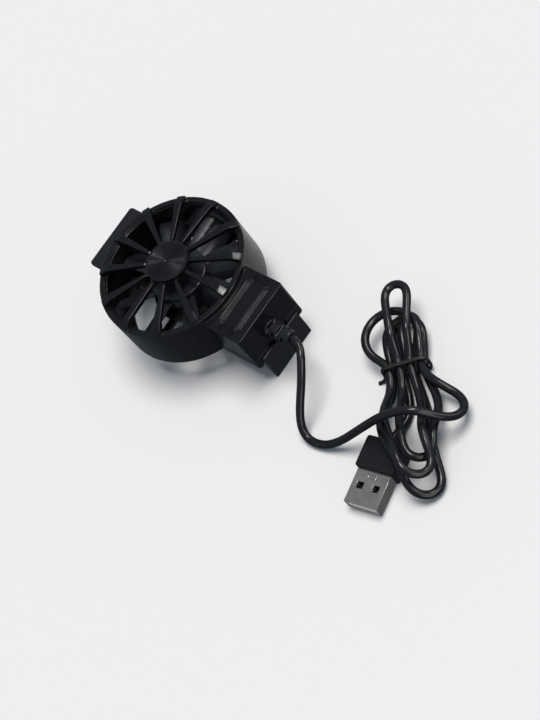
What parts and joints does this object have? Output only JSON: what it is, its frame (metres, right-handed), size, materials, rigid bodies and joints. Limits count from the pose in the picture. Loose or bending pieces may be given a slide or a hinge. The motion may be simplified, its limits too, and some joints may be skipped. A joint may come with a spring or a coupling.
{
  "type": "phone cooling fan",
  "caption": "Clip-on phone cooling fan: bladed fan in a round spoked housing over a sprung sliding clamp, with a lead tied in a hank and a USB plug.",
  "frame": {"origin": "on the fan's axis, in the plane of the phone's back, on the underside of the soft base strip", "axes": "+X from the fixed jaw to the sliding jaw, +Z along the fan's axis towards the grille"},
  "size_m": [0.1488, 0.0714, 0.0334],
  "materials": {
    "shell_black": "satin black moulded plastic",
    "dark_plastic": "matt black moulded plastic",
    "disc_black": "black plastic with turned grooves",
    "blade_black": "satin black moulded plastic",
    "soft_rubber": "soft black rubber",
    "steel": "plain steel",
    "core_steel": "stacked sheet steel",
    "bronze": "sintered bronze",
    "copper": "enamelled copper",
    "gilt": "plated contact",
    "ferrite": "ferrite",
    "board_green": "coated board",
    "nylon": "natural nylon",
    "lead_black": "glossy black sheath",
    "wire_red": "red wire sheath",
    "tie_black": "black plastic twist tie",
    "grip_black": "fine-textured black moulding",
    "nickel": "nickel-plated sheet",
    "tongue_pale": "pale moulded insulator"
  },
  "bodies": {
    "housing": {"upper_shell": "shell_black", "base_tray": "dark_plastic", "front_grille": "shell_black", "hub_disc": "disc_black", "fixed_jaw": "shell_black", "fixed_jaw_pad": "soft_rubber", "base_pad": "soft_rubber", "motor_mount": "dark_plastic", "mount_screws": "steel", "case_screws": "steel", "bearing_sleeve": "bronze", "stator_core": "core_steel", "stator_coils": "copper", "drive_board": "board_green", "jaw_spring": "steel", "strain_relief": "lead_black", "lead_wire_red": "wire_red", "lead_wire_black": "lead_black", "cord": "lead_black", "cord_hank": "lead_black", "plug_lead": "lead_black", "cord_tie": "tie_black", "plug_overmould": "grip_black", "plug_shell": "nickel", "plug_tongue": "tongue_pale", "plug_contacts": "gilt"},
    "rotor": {"impeller": "blade_black", "rotor_yoke": "steel", "magnet_ring": "ferrite", "rotor_shaft": "steel", "shaft_clip": "nylon"},
    "jaw": {"sliding_jaw": "shell_black", "sliding_jaw_pad": "soft_rubber"}
  },
  "joints": [
    {"name": "fan_spin", "type": "hinge", "parent": "housing", "child": "rotor", "pos_m": [0, 0, 0.012], "axis": [0, 0, 1], "continuous": true},
    {"name": "jaw_slide", "type": "slide", "parent": "housing", "child": "jaw", "axis": [1, 0, 0], "range_m": [0, 0.02], "stiffness_N_per_m": 150, "springref_m": -0.01, "deforming": ["jaw_spring"]}
  ]
}
